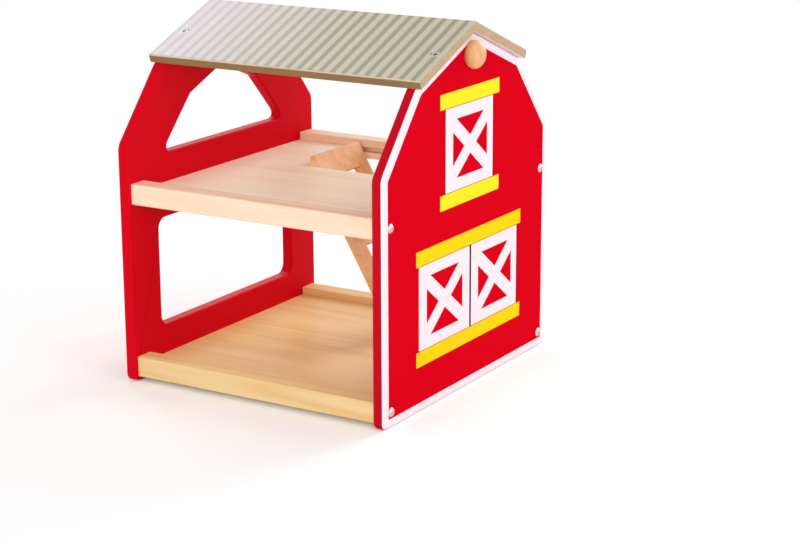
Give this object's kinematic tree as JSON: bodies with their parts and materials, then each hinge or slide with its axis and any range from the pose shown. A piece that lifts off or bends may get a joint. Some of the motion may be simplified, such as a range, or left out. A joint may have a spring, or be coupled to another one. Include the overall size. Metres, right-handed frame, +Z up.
{
  "type": "toy barn",
  "caption": "Wooden toy barn with an open front and back, gambrel gables, a striped roof, slotted ladder between floors, swinging doors in one gable end and a loft hatch.",
  "frame": {"origin": "middle of the overall box, at the height of the table on which the gables stand", "axes": "+X along the ridge, from the windowed gable to the door gable; +Y from the open front to the open back, where the ladder is; +Z up"},
  "size_m": [0.2326, 0.236, 0.2642],
  "materials": {
    "gable_paint": "gloss red paint on panel",
    "white_print": "printed white",
    "yellow_print": "printed yellow",
    "bare_wood": "clear matt lacquer",
    "deck_wood": "clear matt lacquer",
    "ladder_wood": "clear matt lacquer",
    "roof_board": "bare fibreboard edges",
    "roof_print_light": "printed pale grey beige",
    "roof_print_dark": "printed olive grey",
    "knob_wood": "clear satin lacquer",
    "screw_steel": "zinc plated"
  },
  "bodies": {
    "barn": {"left_gable": "gable_paint", "right_gable": "gable_paint", "gable_border_print": "white_print", "door_bar_prints": "yellow_print", "hatch_bar_prints": "yellow_print", "front_door_pin": "screw_steel", "back_door_pin": "screw_steel", "loft_hatch_pin": "screw_steel", "lower_front_rail": "bare_wood", "lower_back_rail": "bare_wood", "upper_front_rail": "bare_wood", "upper_back_rail": "bare_wood", "lower_deck": "deck_wood", "upper_deck": "deck_wood", "ladder": "ladder_wood", "front_roof": "roof_board", "back_roof": "roof_board", "roof_print": "roof_print_light", "roof_stripes": "roof_print_dark", "gable_knob": "knob_wood", "left_gable_screws": "screw_steel", "right_gable_screws": "screw_steel", "roof_screws": "screw_steel"},
    "front_door_leaf": {"front_door": "gable_paint", "front_door_print": "white_print"},
    "back_door_leaf": {"back_door": "gable_paint", "back_door_print": "white_print"},
    "loft_hatch_leaf": {"loft_hatch": "gable_paint", "loft_hatch_print": "white_print"}
  },
  "joints": [
    {"name": "front_door_hinge", "type": "hinge", "parent": "barn", "child": "front_door_leaf", "pos_m": [0.1032, -0.068, 0.0739], "axis": [0, 0, -1], "range_deg": [0, 90]},
    {"name": "back_door_hinge", "type": "hinge", "parent": "barn", "child": "back_door_leaf", "pos_m": [0.1032, 0.07, 0.0739], "axis": [0, 0, 1], "range_deg": [0, 90]},
    {"name": "loft_hatch_hinge", "type": "hinge", "parent": "barn", "child": "loft_hatch_leaf", "pos_m": [0.1032, 0.032, 0.1778], "axis": [0, 0, 1], "range_deg": [0, 90]}
  ]
}
